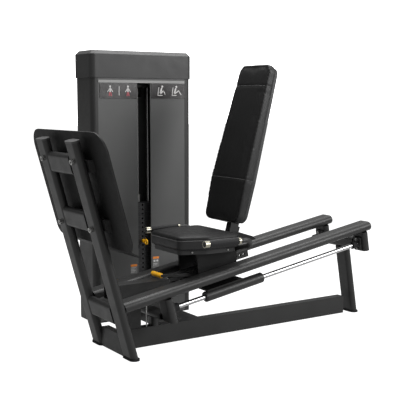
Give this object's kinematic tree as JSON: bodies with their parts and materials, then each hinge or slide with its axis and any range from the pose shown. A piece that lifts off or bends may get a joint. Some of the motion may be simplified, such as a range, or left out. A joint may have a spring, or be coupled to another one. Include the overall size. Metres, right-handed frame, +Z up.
{
  "type": "leg press machine",
  "caption": "Seated leg press: a padded seat carriage rolls up two inclined rods away from a leaning foot plate and lifts a pin-selected weight stack in a shrouded tower.",
  "frame": {"origin": "on the floor, in the middle of the footprint", "axes": "+X from the foot plate to the rear, +Y towards the weight tower, +Z up"},
  "size_m": [1.8729, 1.107, 1.484],
  "materials": {
    "frame_paint": "satin dark grey powder coat",
    "chrome_rod": "polished",
    "vinyl": "matt black vinyl upholstery",
    "rubber": "matt",
    "black_plastic": "matt",
    "aluminium_trim": "brushed",
    "zinc_steel": "zinc plated",
    "yellow_plastic": "gloss",
    "rope_jacket": "black jacketed wire rope",
    "plate_steel": "satin black",
    "shroud_grey": "semi-gloss dark grey",
    "placard": null
  },
  "bodies": {
    "root": {"foot_mat": "rubber", "foot_pads": "rubber", "foot_plate": "frame_paint", "floor_cross_tubes": "frame_paint", "floor_spine_tube": "frame_paint", "frame_bolts": "zinc_steel", "front_beam": "frame_paint", "front_crosshead": "frame_paint", "guide_rods": "chrome_rod", "plate_ears": "frame_paint", "pulley_axles": "zinc_steel", "rail_left": "frame_paint", "rail_right": "frame_paint", "rear_crosshead": "frame_paint", "rear_leg": "frame_paint", "rod_flanges": "frame_paint", "rope_frame_run": "rope_jacket", "rubber_buffers": "rubber", "shroud_back": "shroud_grey", "shroud_front_panels": "shroud_grey", "shroud_hood": "shroud_grey", "shroud_sides": "shroud_grey", "stack_guide_shafts": "chrome_rod", "tower_base": "frame_paint", "tower_frame": "frame_paint", "tower_placards": "placard", "tube_end_caps": "black_plastic", "upright_cross_tubes": "frame_paint", "upright_left": "frame_paint", "upright_right": "frame_paint", "weight_plates_resting": "plate_steel"},
    "drive": {"drive_bar": "frame_paint", "rope_drive_run": "rope_jacket"},
    "carriage": {"carriage_cheeks": "frame_paint", "carriage_cross_members": "frame_paint", "drive_bar_guides": "frame_paint", "handle_collars": "aluminium_trim", "handle_grips": "rubber", "handle_tubes": "frame_paint", "recline_yoke": "frame_paint", "rod_sleeves": "frame_paint", "seat_board": "black_plastic", "seat_bolts": "zinc_steel", "seat_pad": "vinyl", "sleeve_bushes": "black_plastic"},
    "backrest": {"backrest_pad": "vinyl", "backrest_shell": "black_plastic", "backrest_post": "frame_paint"},
    "lever": {"release_lever": "yellow_plastic"},
    "pin": {"lock_pin": "zinc_steel"},
    "stack": {"weight_plates_lifted": "plate_steel", "selector_stem": "zinc_steel", "rope_stack_run": "rope_jacket"},
    "selector": {"selector_pin": "yellow_plastic"},
    "front_wheel": {"pulley_front": "black_plastic"},
    "floor_wheel": {"pulley_floor": "black_plastic"},
    "bend_wheel": {"pulley_bend": "black_plastic"},
    "tower_wheel": {"pulley_tower": "black_plastic"},
    "top_wheel": {"pulley_top": "black_plastic"}
  },
  "joints": [
    {"name": "press_stroke", "type": "slide", "parent": "root", "child": "drive", "axis": [0.9848, 0, 0.1736], "range_m": [0, 0.45]},
    {"name": "seat_position", "type": "slide", "parent": "drive", "child": "carriage", "axis": [0.9848, 0, 0.1736], "range_m": [0, 0.15]},
    {"name": "backrest_recline", "type": "hinge", "parent": "carriage", "child": "backrest", "pos_m": [0.0625, -0.1675, 0.508], "axis": [0, 1, 0], "range_deg": [-6, 15]},
    {"name": "release_lever_turn", "type": "hinge", "parent": "carriage", "child": "lever", "pos_m": [-0.0878, -0.1675, 0.33009], "axis": [0, 1, 0], "range_deg": [0, 10], "stiffness_Nm_per_rad": 8, "springref_deg": -11.46},
    {"name": "lock_pin_draw", "type": "slide", "parent": "carriage", "child": "pin", "axis": [0, -1, 0], "range_m": [0, 0.0261]},
    {"name": "weight_lift", "type": "slide", "parent": "root", "child": "stack", "axis": [0, 0, 1], "range_m": [0, 0.45], "deforming": ["rope_stack_run"]},
    {"name": "selector_pin_draw", "type": "slide", "parent": "stack", "child": "selector", "axis": [0, -1, 0], "range_m": [0, 0.09]},
    {"name": "front_wheel_turn", "type": "hinge", "parent": "root", "child": "front_wheel", "pos_m": [-0.4235, -0.1675, 0.2781], "axis": [0, 1, 0], "range_deg": [0, 858.6]},
    {"name": "floor_wheel_turn", "type": "hinge", "parent": "root", "child": "floor_wheel", "pos_m": [-0.4235, -0.1675, 0.0641], "axis": [0, 1, 0], "range_deg": [0, 858.6]},
    {"name": "bend_wheel_turn", "type": "hinge", "parent": "root", "child": "bend_wheel", "pos_m": [-0.1915, -0.1395, 0.034], "axis": [0, 0, 1], "range_deg": [-922.8, 0]},
    {"name": "tower_wheel_turn", "type": "hinge", "parent": "root", "child": "tower_wheel", "pos_m": [-0.1635, 0.4727, 0.074], "axis": [1, 0, 0], "range_deg": [-646.6, 0]},
    {"name": "top_wheel_turn", "type": "hinge", "parent": "root", "child": "top_wheel", "pos_m": [-0.1635, 0.4715, 1.271], "axis": [1, 0, 0], "range_deg": [-630.9, 0]}
  ],
  "couplings": [
    {"joint": "weight_lift", "follows": "press_stroke", "ratio": 1},
    {"joint": "lock_pin_draw", "follows": "release_lever_turn", "m_per_rad": 0.149},
    {"joint": "front_wheel_turn", "follows": "press_stroke", "rad_per_m": 33.223},
    {"joint": "floor_wheel_turn", "follows": "press_stroke", "rad_per_m": 33.223},
    {"joint": "bend_wheel_turn", "follows": "press_stroke", "rad_per_m": -35.714},
    {"joint": "tower_wheel_turn", "follows": "press_stroke", "rad_per_m": -25},
    {"joint": "top_wheel_turn", "follows": "press_stroke", "rad_per_m": -24.39}
  ]
}
